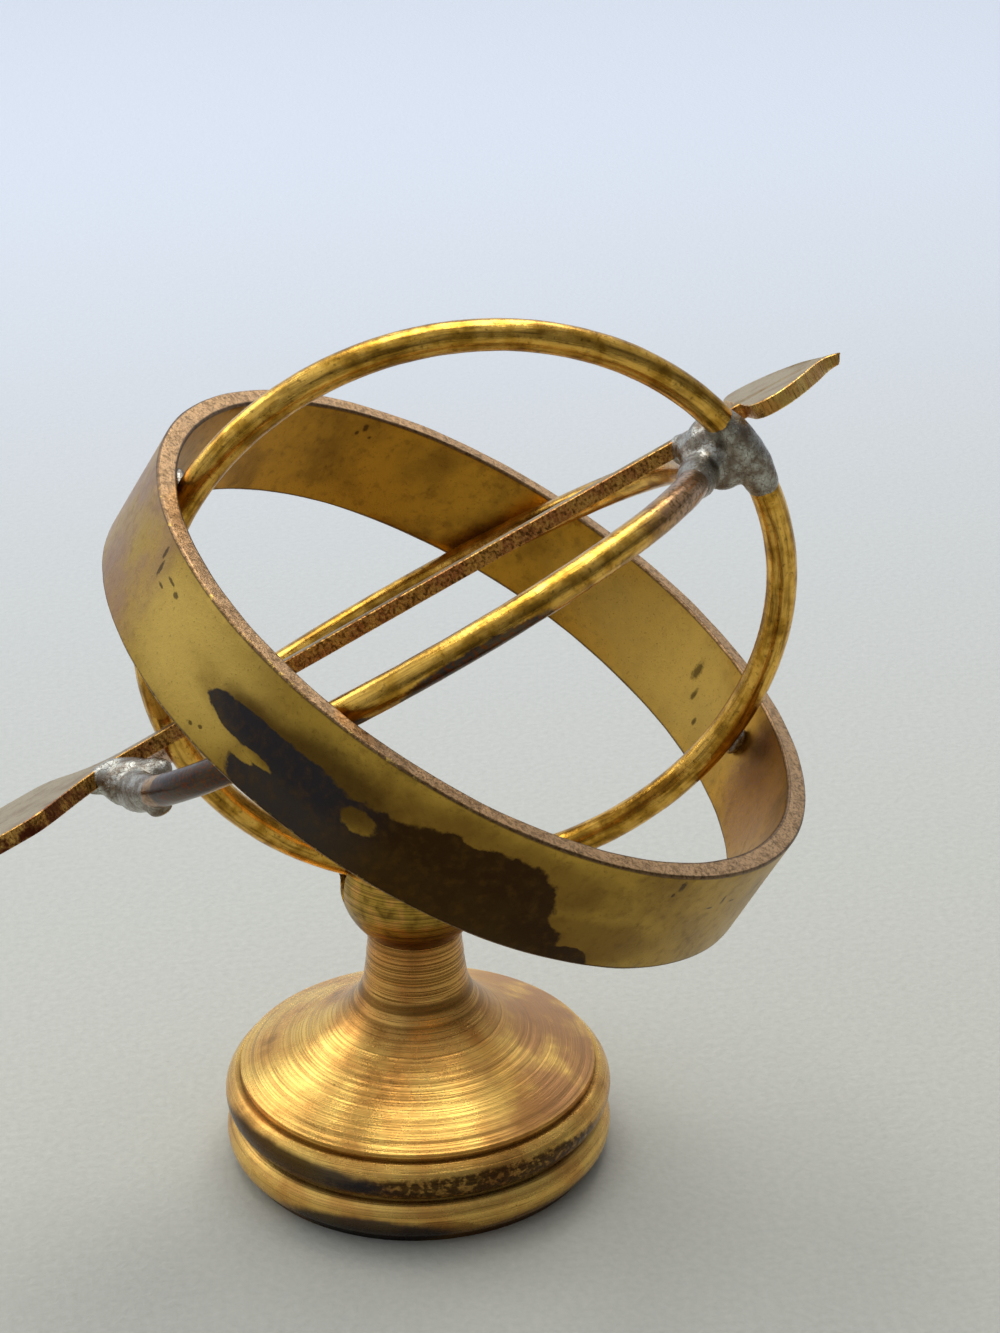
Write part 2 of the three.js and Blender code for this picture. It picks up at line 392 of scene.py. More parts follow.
def rod_rows(start, stop, stations, radius_at, sides=36):
    """Loops round a stretch of hoop, between two angles; radius_at gives the radius at 0 to 1 of it."""
    rows = []
    for share in np.linspace(0, 1, stations):
        turn = start + (stop - start) * share
        around = np.linspace(0, 2 * math.pi, sides, endpoint=False)
        radius = radius_at(share)
        out = HOOP_RADIUS + radius * np.cos(around)
        rows.append(np.stack([out * math.cos(turn), out * math.sin(turn), radius * np.sin(around)], axis=1))
    return rows


def hoop_mesh(seed):
    """A closed ring of rod, barely uneven as drawn and bent rod is."""
    last = 2 * math.pi * (1 - 1 / HOOP_STATIONS)
    rows = rod_rows(0, last, HOOP_STATIONS, lambda share: ROD_RADIUS)
    mesh = new_mesh("hoop", *loft(rows, capped=False))
    roughen(mesh, 0.05, 2.6, seed)
    roughen(mesh, 0.03, 0.8, seed + 1)
    return mesh


def band_mesh():
    """A flat strip rolled into a ring, with worn round edges and file marks on its rims."""
    edge = BAND_EDGE
    across = np.linspace(-1, 1, 15)
    corner = [(math.sin(t), math.cos(t)) for t in np.radians((15, 45, 75))]
    flat = BAND_HALF - edge
    section = [(BAND_OUTER, flat * t) for t in across]
    section += [(BAND_OUTER - edge + edge * c, flat + edge * s) for s, c in corner]
    section += [(r, BAND_HALF) for r in np.linspace(BAND_OUTER - edge, BAND_INNER + edge, 6)]
    section += [(BAND_INNER + edge - edge * s, flat + edge * c) for s, c in corner]
    section += [(BAND_INNER, -flat * t) for t in across]
    section += [(BAND_INNER + edge - edge * c, -flat - edge * s) for s, c in corner]
    section += [(r, -BAND_HALF) for r in np.linspace(BAND_INNER + edge, BAND_OUTER - edge, 6)]
    section += [(BAND_OUTER - edge + edge * s, -flat - edge * c) for s, c in corner]
    rows = []
    for turn in np.linspace(0, 2 * math.pi, BAND_STATIONS, endpoint=False):
        filed = 0.07 * (1 + noise.noise((turn * 9, 1.5, 0.5)))
        dent = 0.05 * (1 + noise.noise((turn * 6, 4.5, 2.5)))
        rows.append([((r - dent) * math.cos(turn), (r - dent) * math.sin(turn),
                      z - math.copysign(filed, z) * (abs(z) > flat)) for r, z in section])
    mesh = new_mesh("band", *loft(rows, capped=False))
    roughen(mesh, 0.04, 3.0, 4)
    return mesh


# ---- arrow

def arrow_side(side):
    """One side of the arrow's outline, from the notch at its tail to its tip; side is 1 or -1."""
    shaft, barb, fletch = SHAFT_WIDTH / 2, HEAD_WIDTH / 2, TAIL_WIDTH / 2
    neck = ARROW_END + TAIL_LENGTH
    back = ARROW_TIP - HEAD_LENGTH

    def on_side(*points):
        return [(x, side * y) for x, y in points]

    def on_head(*points):
        return [(x, side * y + HEAD_SKEW) for x, y in points]

    shoulder = ARROW_END + TAIL_FLAT
    swell = on_side((shoulder, fletch), (neck - 7.5, fletch), (neck - 5.5, shaft), (neck, shaft))
    rounding = on_head((back, barb - 3), (back + 0.2, barb - 1), (back + 1.0, barb), (back + 2.2, barb))
    cheek = on_head((back + 2.2, barb), (back + 5, barb), (ARROW_TIP - 3.6, 5))
    cheek += on_side((ARROW_TIP - 1.4, 0.8))
    corner = on_side((ARROW_END, fletch), (shoulder, fletch), (back, shaft))
    return np.concatenate([
        line((ARROW_END + TAIL_NOTCH, 0), corner[0]),
        line(corner[0], corner[1])[1:],
        bezier(swell, 90)[1:],
        line(swell[3], corner[2])[1:],
        line(corner[2], rounding[0])[1:],
        bezier(rounding, 24)[1:],
        bezier(cheek, 90)[1:],
        line(cheek[3], (ARROW_TIP, side * TIP_WIDTH / 2))[1:],
    ])


def arrow_mesh():
    """A plate cut out with a piercing saw: its edges keep the strokes, and its corners are barely broken."""
    outline = np.concatenate([arrow_side(1), arrow_side(-1)[:0:-1]])
    step = np.roll(outline, -1, axis=0) - np.roll(outline, 1, axis=0)
    step /= np.linalg.norm(step, axis=1)[:, None] + 1e-9
    inward = np.stack([step[:, 1], -step[:, 0]], axis=1)
    run = np.concatenate([[0], np.cumsum(np.linalg.norm(np.diff(outline, axis=0), axis=1))])
    worn = np.clip((outline[:, 0] - ARROW_TIP) / TIP_WEAR_LENGTH + 1, 0, 1) ** 1.6
    sharp = [
        (ARROW_TIP, 0), (ARROW_END + TAIL_NOTCH, 0),
        (ARROW_END, TAIL_WIDTH / 2), (ARROW_END, -TAIL_WIDTH / 2),
    ]
    near = np.min([np.linalg.norm(outline - point, axis=1) for point in sharp], axis=0)
    fade = np.clip(near / CORNER_REACH, 0.1, 1)
    rows = []
    for height, cut_back, lift in [
        (-1, PLATE_CORNER, 0), (-1, 0, PLATE_CORNER), (-0.62, 0, 0), (-0.2, 0, 0),
        (0.2, 0, 0), (0.62, 0, 0), (1, 0, -PLATE_CORNER), (1, PLATE_CORNER, 0),
    ]:
        strokes = np.array([
            0.06 * (1 + noise.noise((s / 0.4 + height * 0.35, height * 0.4, 3.3)))
            + 0.07 * (1 + noise.noise((s / 1.9, height * 0.7, 8.1)))
            for s in run
        ])
        points = outline + inward * ((strokes + cut_back) * fade)[:, None]
        points[:, 0] -= worn * TIP_STEP * (1 - height) / 2
        level = height * ARROW_HALF + lift - worn * TIP_DROOP * (1 + height) / 2
        rows.append(np.column_stack([points, level]))
    return new_mesh("arrow", *loft(rows, capped=True))


# ---- solder

def ellipsoid(centre, halves):
    """Points and faces of a rounded lump."""
    work = bmesh.new()
    bmesh.ops.create_icosphere(work, subdivisions=3, radius=1)
    points = np.array([v.co for v in work.verts]) * halves + centre
    faces = [tuple(v.index for v in f.verts) for f in work.faces]
    work.free()
    return points, faces


def sleeve(where, centre, half_span, thickness):
    """Solder that has run along a hoop, thickest at the middle, as points in the row frame.

    Its place and half length are degrees round the hoop, and its ends are sunk into the rod."""
    sink = 0.25

    def swell(share):
        return ROD_RADIUS - sink + (thickness + sink) * math.sin(math.pi * share) ** 0.6

    rows = rod_rows(math.radians(centre - half_span), math.radians(centre + half_span), 24, swell, 20)
    points, faces = loft(rows, capped=True)
    return in_row(where, points), faces


def in_row(where, points):
    """Points of a local frame given in the row frame, in millimetres in both."""
    return np.array([where @ Vector(p * MM) for p in np.asarray(points)]) / MM


def solder_mesh(shapes, seed, voxel=0.2):
    """Lumps and sleeves run together into one body, as solder does, with an uneven skin."""
    points, faces = [], []
    start = 0
    for part_points, part_faces in shapes:
        points.append(part_points)
        faces += [tuple(start + i for i in face) for face in part_faces]
        start += len(part_points)
    mesh = new_mesh("solder", np.concatenate(points), faces)
    run = with_modifiers(mesh, [
        ("REMESH", {"mode": "VOXEL", "voxel_size": voxel * MM, "adaptivity": 0.0}),
        ("SMOOTH", {"factor": 0.5, "iterations": 30}),
    ])
    roughen(run, 0.13, 1.3, seed)
    roughen(run, 0.05, 0.45, seed + 1)
    return run


def lumps(where, *ovals):
    """Rounded lumps, each given by its centre and half sizes in a frame, as points in the row frame."""
    shapes = [ellipsoid(centre, halves) for centre, halves in ovals]
    return [(in_row(where, points), faces) for points, faces in shapes]


def upper_pole_shapes():
    """The web between the polar hoop's end, the vertical hoop and the arrow."""
    return lumps(
        POLES, ((29.4, -0.4, 1.9), (2.7, 1.8, 3.0)), ((31.4, 0, 1.6), (1.85, 1.9, 3.6)),
        ((27.6, 2.2, 2.6), (2.0, 3.8, 1.9)), ((27.4, -1.6, 3.2), (2.0, 2.2, 1.75)),
        ((26.6, 4.9, 2.0), (1.7, 1.6, 1.9)), ((29.4, 1.8, 3.9), (2.2, 2.6, 2.2)),
    ) + [sleeve(COLURE, -4, 9, 0.5), sleeve(MERIDIAN, -3, 10, 0.6)]


def lower_pole_shapes():
    """Solder over the arrow's near edge and down to the polar hoop's other end, with a drip under it."""
    return lumps(
        COLURE, ((-32.5, -8.0, 2.3), (3.1, 1.35, 1.6)), ((-30.9, -8.3, 0.9), (3.0, 2.6, 2.4)),
        ((-29.2, -9.0, 0.5), (3.1, 2.3, 1.9)), ((-27.2, -16.9, -1.5), (1.5, 1.5, 1.1)),
    ) + [sleeve(COLURE, 199, 18, 0.5)]


def band_left_shapes():
    """A thin run of solder between the vertical hoop and the band, just inside the band's rim."""
    return lumps(BAND, ((-33.7, 4.9, 4.7), (0.95, 2.1, 1.2)))


def band_right_shapes():
    """The spot of solder on the other side of the band."""
    return lumps(BAND, ((33.9, 4.3, 1.0), (1.0, 1.0, 1.9)))


# ---- material toolkit

def srgb(red, green, blue):
    """A colour given as 0 to 255 on screen, as the shader's linear colour."""
    return tuple((c / 255 / 12.92) if c <= 10 else ((c / 255 + 0.055) / 1.055) ** 2.4
                 for c in (red, green, blue)) + (1.0,)


class Look:
    """A material's node tree, written as sums of sockets.

    Places and sizes are millimetres in the piece's own frame, and angles are radians."""

    def __init__(self, name):
        self.material = bpy.data.materials.new(name)
        self.material.use_nodes = True
        self.nodes = self.material.node_tree.nodes
        self.links = self.material.node_tree.links
        self.shader = self.nodes["Principled BSDF"]
        self.shader.inputs["Metallic"].default_value = 1.0
        here = self.nodes.new("ShaderNodeAttribute")
        here.attribute_name = "local"
        self.place = self.vector("MULTIPLY", here.outputs["Vector"], (1 / MM,) * 3)
        split = self.nodes.new("ShaderNodeSeparateXYZ")
        self.feed(split.inputs[0], self.place)
        self.x, self.y, self.z = split.outputs

    def radius(self):
        """Distance from the piece's Z axis."""
        return self.vector("LENGTH", self.join(self.x, self.y))

    def turn(self):
        """Angle round the piece's Z axis, from its X axis."""
        return self.math("ARCTAN2", self.y, self.x)

    def feed(self, socket, value):
        if isinstance(value, bpy.types.NodeSocket):
            self.links.new(value, socket)
        else:
            socket.default_value = value

    def math(self, operation, *values):
        node = self.nodes.new("ShaderNodeMath")
        node.operation = operation
        for socket, value in zip(node.inputs, values):
            self.feed(socket, value)
        return node.outputs[0]

    def vector(self, operation, *values):
        node = self.nodes.new("ShaderNodeVectorMath")
        node.operation = operation
        for socket, value in zip(node.inputs, values):
            self.feed(socket, value)
        return node.outputs["Value" if operation == "LENGTH" else "Vector"]

    def join(self, x, y, z=0.0):
        node = self.nodes.new("ShaderNodeCombineXYZ")
        for socket, value in zip(node.inputs, (x, y, z)):
            self.feed(socket, value)
        return node.outputs[0]

    def noise(self, size, detail=3.0, place=None, rough=0.55, distortion=0.0, seed=0.0):
        """Noise about 0.5, with lumps of that size; size may be one length or three."""
        sizes = size if isinstance(size, tuple) else (size,) * 3
        place = self.vector("MULTIPLY", place or self.place, tuple(1 / s for s in sizes))
        node = self.nodes.new("ShaderNodeTexNoise")
        node.noise_dimensions = "4D"
        self.feed(node.inputs["Vector"], place)
        node.inputs["W"].default_value = seed
        node.inputs["Scale"].default_value = 1.0
        node.inputs["Detail"].default_value = detail
        node.inputs["Roughness"].default_value = rough
        node.inputs["Distortion"].default_value = distortion
        return node.outputs["Fac"]

    def step(self, value, low, high):
        """0 below low, 1 above high, smooth between; low may be the larger."""
        node = self.nodes.new("ShaderNodeMapRange")
        node.interpolation_type = "SMOOTHSTEP"
        flip = low > high
        self.feed(node.inputs["Value"], value)
        node.inputs["From Min"].default_value = min(low, high)
        node.inputs["From Max"].default_value = max(low, high)
        node.inputs["To Min"].default_value = 1.0 if flip else 0.0
        node.inputs["To Max"].default_value = 0.0 if flip else 1.0
        return node.outputs["Result"]

    def mix(self, under, over, share, most=1.0):
        """A colour laid over another by a share that is never more than most."""
        node = self.nodes.new("ShaderNodeMix")
        node.data_type = "RGBA"
        self.feed(node.inputs["Factor"], self.times(share, most))
        self.feed(node.inputs[6], under)
        self.feed(node.inputs[7], over)
        return node.outputs[2]

    def tint(self, under, over, value, low, high, most=1.0):
        """A colour laid over another as a value goes from low to high."""
        return self.mix(under, over, self.step(value, low, high), most)

    def near(self, value, level, far, close):
        """1 where value is within close of level, fading to 0 where it is far from it."""
        off = self.math("ABSOLUTE", self.math("SUBTRACT", value, level))
        return self.step(off, far, close)

    def lines(self, value, width):
        """Thin lines where a noise crosses its middle value."""
        return self.near(value, 0.5, width, width * 0.3)

    def times(self, value, other):
        return self.math("MULTIPLY", value, other)

    def scaled(self, value, factor, base):
        """The value times the factor, plus the base."""
        return self.math("MULTIPLY_ADD", value, factor, base)

    def blotch(self, u, v, ovals, ragged, size, seed, soft=0.08):
        """1 inside a union of ovals, each given by its centre and half sizes, and 0 outside.

        Its outline is ragged by a noise of that size, and fades over the share soft of its reach."""
        here = self.join(u, v)
        nearest = None
        for centre, halves in ovals:
            offset = self.vector("SUBTRACT", here, (*centre, 0.0))
            reach = self.vector("LENGTH", self.vector("DIVIDE", offset, (*halves, 1.0)))
            nearest = reach if nearest is None else self.math("SMOOTH_MIN", nearest, reach, 0.3)
        wave = self.noise(size, detail=5, rough=0.62, seed=seed)
        wobble = self.scaled(wave, ragged, -ragged / 2)
        return self.step(self.math("ADD", nearest, wobble), 1.0 + soft, 1.0 - soft)

    def finish(self, colour, roughness, height, relief):
        """Sets the shader's colour and roughness, and a bump whose full height is relief millimetres."""
        self.feed(self.shader.inputs["Base Color"], colour)
        self.feed(self.shader.inputs["Roughness"], roughness)
        bump = self.nodes.new("ShaderNodeBump")
        bump.inputs["Strength"].default_value = 1.0
        bump.inputs["Distance"].default_value = relief * MM
        self.feed(bump.inputs["Height"], height)
        self.feed(self.shader.inputs["Normal"], bump.outputs["Normal"])
        return self.material


# ---- materials

BRIGHT_GOLD = srgb(240, 196, 104)
WARM_GOLD = srgb(214, 158, 80)
MATT_BROWN = srgb(170, 124, 78)
COPPER = srgb(190, 122, 70)
YELLOW_BRASS = srgb(236, 186, 86)
OLIVE_BRASS = srgb(180, 144, 60)
PALE_BRASS = srgb(214, 178, 90)
SHADE_BRASS = srgb(190, 140, 46)
OLIVE_BROWN = srgb(112, 80, 30)
PINK_BROWN = srgb(164, 124, 96)
DARK_BROWN = srgb(48, 30, 16)
BLUE_BLACK = srgb(46, 45, 50)
RED_BROWN = srgb(92, 44, 24)
RIM_TAN = srgb(208, 166, 118)
GREY_TAN = srgb(164, 148, 118)
SOLDER_GREY = srgb(168, 166, 156)
SOLDER_BROWN = srgb(106, 88, 70)
BRIGHT_TIN = srgb(226, 224, 214)
FLOOR_DARK = srgb(166, 165, 154)
FLOOR_PALE = srgb(190, 189, 178)
FLOOR_FAR = srgb(190, 196, 206)


def turned_painted_shade(look, colour, radius):
    """Painted shade in the step under the cone's rim, between the beads and along the floor."""
    # Painted shade: darker at the foot by the floor, in the groove between the beads and in the step under
    # the rim.
    floor_shade = look.step(look.z, 1.3, 0.3)
    groove = look.near(look.z, sum(BEAD_HEIGHTS) / 2, 0.7, 0.2)
    step = look.near(look.z, RIM_HEIGHT - RIM_STEP + 0.15, 0.35, 0.15)
    step = look.times(step, look.step(radius, BASE_RADIUS - 1.1, RIM_RADIUS + 0.1))
    colour = look.mix(colour, DARK_BROWN, look.math("MAXIMUM", floor_shade, groove), 0.75)
    return look.mix(colour, OLIVE_BROWN, step, 0.7)


def turned_stains(look, colour, turn):
    """Burnt patches round the near side of the upper bead and at the lower bead's foot."""
    smoke = look.blotch(turn, look.z, [((-2.5, 7.1), (0.62, 1.75))], 0.35, 2.5, 6, 0.2)
    mottled = look.blotch(turn, look.z, [((-1.35, 6.9), (0.8, 1.6))], 0.5, 1.4, 16, 0.15)
    lumpy = look.step(look.noise(0.7, detail=3, seed=8), 0.36, 0.52)
    foot = look.blotch(turn, look.z, [((-2.0, 1.5), (0.45, 1.9))], 0.4, 1.8, 7, 0.2)
    copper_ovals = [((-1.62, 1.8), (0.2, 1.5)), ((-0.9, 0.9), (0.7, 1.2))]
    copper_foot = look.blotch(turn, look.z, copper_ovals, 0.5, 1.2, 17)
    burnt = look.tint(DARK_BROWN, BLUE_BLACK, turn, -2.35, -2.15)
    colour = look.mix(colour, RED_BROWN, copper_foot, 0.45)
    colour = look.mix(colour, RED_BROWN, mottled, 0.5)
    colour = look.mix(colour, DARK_BROWN, look.times(mottled, lumpy), 0.85)
    colour = look.mix(colour, burnt, smoke, 0.9)
    return look.mix(colour, BLUE_BLACK, foot, 0.88)


def turned_brass():
    """Brass straight from the lathe: rings that catch the light, gone brown on the cone's right side."""
    look = Look("turned_brass")
    radius = look.radius()
    waver = look.times(look.noise(14.0, detail=1, seed=14), 0.5)
    lathe = look.join(look.math("ADD", radius, waver), look.z)
    rings = look.noise(0.34, detail=2, place=lathe, seed=1)
    fine_rings = look.noise(0.12, detail=1, place=lathe, seed=15)
    wide_rings = look.noise(1.1, detail=2, place=lathe, seed=2)
    ring_lines = look.lines(rings, 0.035)
    cloud = look.noise(5.5, detail=4, seed=3)
    speck = look.step(look.noise(0.6, detail=2, seed=4), 0.73, 0.78)
    upright = look.step(look.z, 14.5, 19.0)
    side = look.times(look.step(look.x, 2.0, 13.0), look.step(look.z, 9.6, 10.8))
    deep = look.math("MAXIMUM", ring_lines, look.step(wide_rings, 0.5, 0.62))

    colour = look.tint(BRIGHT_GOLD, WARM_GOLD, cloud, 0.35, 0.65)
    colour = look.tint(colour, COPPER, wide_rings, 0.52, 0.7, 0.45)
    colour = look.tint(colour, OLIVE_BROWN, fine_rings, 0.5, 0.75, 0.3)
    colour = look.mix(colour, OLIVE_BROWN, ring_lines, 0.4)
    colour = look.mix(colour, MATT_BROWN, look.times(side, look.step(cloud, 0.25, 0.55)))
    colour = look.tint(colour, OLIVE_BROWN, cloud, 0.58, 0.72, 0.5)
    colour = look.mix(colour, COPPER, upright, 0.4)
    colour = look.mix(colour, OLIVE_BROWN, look.times(upright, deep), 0.75)
    # Painted shade at the foot, between the beads and under the cone's rim.
    colour = turned_painted_shade(look, colour, radius)
    colour = turned_stains(look, colour, look.turn())
    colour = look.mix(colour, DARK_BROWN, speck, 0.7)

    rough = look.scaled(look.noise(1.4, seed=9), 0.14, 0.2)
    rough = look.scaled(side, 0.12, rough)
    height = look.math("SUBTRACT", rings, look.times(ring_lines, 0.5))
    height = look.scaled(fine_rings, 0.5, height)
    height = look.scaled(look.noise(0.22, seed=10), 0.5, height)
    look.shader.inputs["Anisotropic"].default_value = 0.6
    look.shader.inputs["Anisotropic Rotation"].default_value = 0.25
    tangent = look.nodes.new("ShaderNodeTangent")
    tangent.direction_type = "RADIAL"
    tangent.axis = "Z"
    look.feed(look.shader.inputs["Tangent"], tangent.outputs[0])
    return look.finish(colour, rough, height, 0.028)


def saddle_brass():
    """The ball: duller and browner than the foot, and reddish where it meets the neck."""
    look = Look("saddle_brass")
    rings = look.noise(0.3, detail=2, place=look.join(look.radius(), look.z), seed=11)
    ring_lines = look.lines(rings, 0.05)
    cloud = look.noise(1.8, detail=4, seed=12)
    colour = look.tint(WARM_GOLD, OLIVE_BRASS, cloud, 0.3, 0.5)
    colour = look.tint(colour, OLIVE_BROWN, cloud, 0.48, 0.66, 0.8)
    colour = look.mix(colour, DARK_BROWN, ring_lines, 0.55)
    base = look.step(look.scaled(cloud, 2.0, look.z), 31.0, 28.4)
    colour = look.mix(colour, RED_BROWN, base, 0.7)
    rough = look.scaled(cloud, 0.2, 0.22)
    height = look.scaled(look.noise(0.4, seed=13), 0.6, rings)
    return look.finish(colour, rough, height, 0.05)


def rod_brass(name, seed, scorched=(), burnt=()):
    """Drawn rod with tarnish that follows its length.

    The scorched and burnt places are ovals of angle round the hoop and height above its plane."""
    look = Look(name)
    turn = look.turn()
    out = look.math("SUBTRACT", look.radius(), HOOP_RADIUS)
    along = look.times(turn, HOOP_RADIUS)
    drawn = look.join(along, out, look.z)
    streaks = look.noise((5.0, 0.4, 0.4), detail=4, place=drawn, seed=seed)
    scratches = look.noise((3.0, 0.12, 0.12), detail=2, place=drawn, seed=seed + 5)
    cloud = look.noise(2.6, detail=5, seed=seed + 1)
    fine = look.noise(0.42, detail=4, seed=seed + 2)
    colour = look.tint(YELLOW_BRASS, SHADE_BRASS, cloud, 0.4, 0.6)
    colour = look.tint(colour, OLIVE_BROWN, streaks, 0.42, 0.7, 0.75)
    colour = look.tint(colour, OLIVE_BROWN, cloud, 0.52, 0.68, 0.55)
    colour = look.tint(colour, DARK_BROWN, fine, 0.56, 0.68, 0.5)
    if scorched:
        tan = look.blotch(turn, look.z, scorched, 0.7, 2.0, seed + 3, 0.3)
        colour = look.mix(colour, PINK_BROWN, tan, 0.8)
        colour = look.mix(colour, OLIVE_BROWN, look.times(tan, look.step(fine, 0.48, 0.6)))
    if burnt:
        burn = look.blotch(turn, look.z, burnt, 0.7, 1.4, seed + 4, 0.12)
        dark = look.tint(BLUE_BLACK, RED_BROWN, fine, 0.5, 0.62)
        colour = look.mix(colour, dark, burn, 0.92)
    rough = look.scaled(fine, 0.2, 0.13)
    height = look.scaled(scratches, 0.5, look.math("ADD", streaks, fine))
    return look.finish(colour, rough, height, 0.03)


# Places on the band, as ovals: centre and half sizes, in radians round it and millimetres up
SMOKE = [((-2.15, 0.3), (0.4, 2.6)), ((-1.7, 1.6), (0.4, 3.2)), ((-1.35, -3.0), (0.22, 2.6))]
SOOT = [((-2.16, 0.6), (0.2, 3.2)), ((-2.32, 0.4), (0.16, 1.8))]
HEAT_STAIN = [
    ((-2.36, -0.55), (0.17, 1.7)), ((-2.21, -1.4), (0.15, 2.8)), ((-2.12, -4.0), (0.28, 3.0)),
    ((-1.95, -2.6), (0.22, 3.9)), ((-1.74, -1.9), (0.2, 5.3)), ((-1.6, -1.8), (0.13, 4.8)),
    ((-1.54, -4.6), (0.13, 3.0)), ((-1.37, -5.5), (0.08, 1.4)),
]
STAIN_GAPS = [
    ((-2.46, -3.7), (0.06, 0.6)), ((-2.39, -3.0), (0.06, 0.5)), ((-2.33, -2.3), (0.05, 0.45)),
    ((-2.03, -1.0), (0.05, 1.1)), ((-1.76, 3.1), (0.04, 0.6)),
]
OUTER_MARKS = [
    ((-2.915, 4.0), (0.007, 0.7)), ((-2.9, 2.6), (0.007, 0.8)), ((-2.83, 3.0), (0.02, 0.16)),
    ((-2.79, 2.6), (0.011, 0.3)), ((-2.86, 1.7), (0.014, 0.15)), ((-2.53, -4.5), (0.007, 0.2)),
    ((-2.5, -4.0), (0.007, 0.2)), ((-1.152, 4.7), (0.009, 0.6)), ((-1.165, 3.6), (0.006, 0.25)),
    ((-0.925, 2.4), (0.006, 0.5)), ((-0.97, 1.6), (0.014, 0.12)), ((-0.87, 1.9), (0.012, 0.12)),
]
INNER_MARKS = [
    ((1.81, 4.4), (0.008, 0.5)), ((1.83, 3.5), (0.006, 0.3)), ((1.78, 3.4), (0.006, 0.2)),
    ((0.44, 1.8), (0.013, 1.1)), ((0.4, -0.4), (0.008, 0.7)), ((0.34, -2.4), (0.008, 0.4)),
]


def band_sheen(look, colour, turn, outside, inside, cloud):
    """A painted highlight on the outer face's left end, paler brass inside towards the back right, and a
    pinkish haze round the left end.
    """
    # Painted highlight: pale brass on the lit left end of the outer face.
    bright = look.blotch(turn, look.z, [((-2.62, 0.5), (0.25, 6.0))], 0.5, 4.0, 26, 0.5)
    bright = look.times(bright, look.times(outside, 0.75))
    pale = look.blotch(turn, look.z, [((0.55, 0.0), (0.38, 7.0))], 0.5, 4.0, 36, 0.5)
    pale = look.times(pale, look.times(inside, 0.7))
    colour = look.mix(colour, PALE_BRASS, look.math("ADD", bright, pale))
    haze = look.math("MAXIMUM", look.step(turn, -2.8, -3.0), look.step(turn, 2.4, 2.7))
    haze = look.times(haze, look.times(outside, look.step(cloud, 0.3, 0.6)))
    return look.mix(colour, PINK_BROWN, haze, 0.7)


def heat_stain(look, colour, turn, outside, mottle):
    """The burnt patch on the near outer face, with smoke round it; also gives how far a place is burnt."""
    smoke = look.blotch(turn, look.z, SMOKE, 0.9, 3.0, 27, 0.35)
    colour = look.mix(colour, OLIVE_BROWN, look.times(smoke, outside), 0.7)
    soot = look.blotch(turn, look.z, SOOT, 0.8, 2.2, 38, 0.4)
    colour = look.mix(colour, DARK_BROWN, look.times(soot, outside), 0.6)
    stain = look.blotch(turn, look.z, HEAT_STAIN, 0.6, 2.4, 24, 0.05)
    gaps = look.blotch(turn, look.z, STAIN_GAPS, 1.0, 0.9, 25, 0.15)
    tone = look.tint(DARK_BROWN, BLUE_BLACK, turn, -1.9, -2.15)
    tone = look.tint(tone, OLIVE_BROWN, mottle, 0.44, 0.85, 0.42)
    burnt = look.times(stain, look.math("SUBTRACT", 1.0, gaps))
    burnt = look.times(burnt, outside)
    return look.mix(colour, tone, burnt, 0.94), burnt


def handling_marks(look, colour, turn, outside, inside, pores):
    """Small dark marks from years of handling, and a rusty patch inside."""
    outer = look.blotch(turn, look.z, OUTER_MARKS, 1.6, 0.3, 29, 0.3)
    inner = look.blotch(turn, look.z, INNER_MARKS, 1.8, 0.4, 30, 0.5)
    outer = look.times(outer, outside)
    inner = look.times(inner, inside)
    colour = look.mix(colour, DARK_BROWN, look.math("ADD", outer, inner), 0.75)
    rusty = look.blotch(turn, look.z, [((-0.1, 0.5), (0.2, 5.5))], 0.5, 2.5, 33, 0.15)
    rusty = look.times(rusty, look.times(inside, look.step(pores, 0.4, 0.55)))
    return look.mix(colour, MATT_BROWN, rusty, 0.7)


def band_rims(look, colour, turn, radius, outside, pores):
    """Rims rubbed to a mottled tan, with painted shade in dark lines along their corners, and bright wear on
    the near one that is partly a painted highlight.

    Also gives how far a place is on a rim."""
    height_up = look.math("ABSOLUTE", look.z)
    rim = look.step(height_up, BAND_HALF - 0.36, BAND_HALF - 0.28)
    rim_noise = look.noise(0.7, detail=6, rough=0.7, distortion=0.6, seed=37)
    rim_colour = look.tint(RIM_TAN, OLIVE_BROWN, rim_noise, 0.44, 0.64, 0.7)
    rim_colour = look.tint(rim_colour, DARK_BROWN, pores, 0.5, 0.62, 0.5)
    colour = look.mix(colour, rim_colour, rim)
    middle, half = (BAND_OUTER + BAND_INNER) / 2, (BAND_OUTER - BAND_INNER) / 2
    off_middle = look.math("ABSOLUTE", look.math("SUBTRACT", radius, middle))
    # Painted shade: dark lines along the rounded corners of both rims.
    corner = look.step(off_middle, half - 0.34, half - 0.2)
    corner = look.times(corner, look.step(height_up, BAND_HALF - 0.5, BAND_HALF - 0.3))
    colour = look.mix(colour, DARK_BROWN, corner, 0.7)
    # Bright wear on the near corners at the left: partly rubbed brass, partly a painted highlight.
    worn = look.step(look.noise(0.8, detail=6, rough=0.75, seed=34), 0.52, 0.66)
    worn = look.times(worn, look.step(turn, -1.7, -2.0))
    worn = look.times(worn, look.times(outside, 0.7))
    return look.mix(colour, PALE_BRASS, look.times(corner, worn)), rim


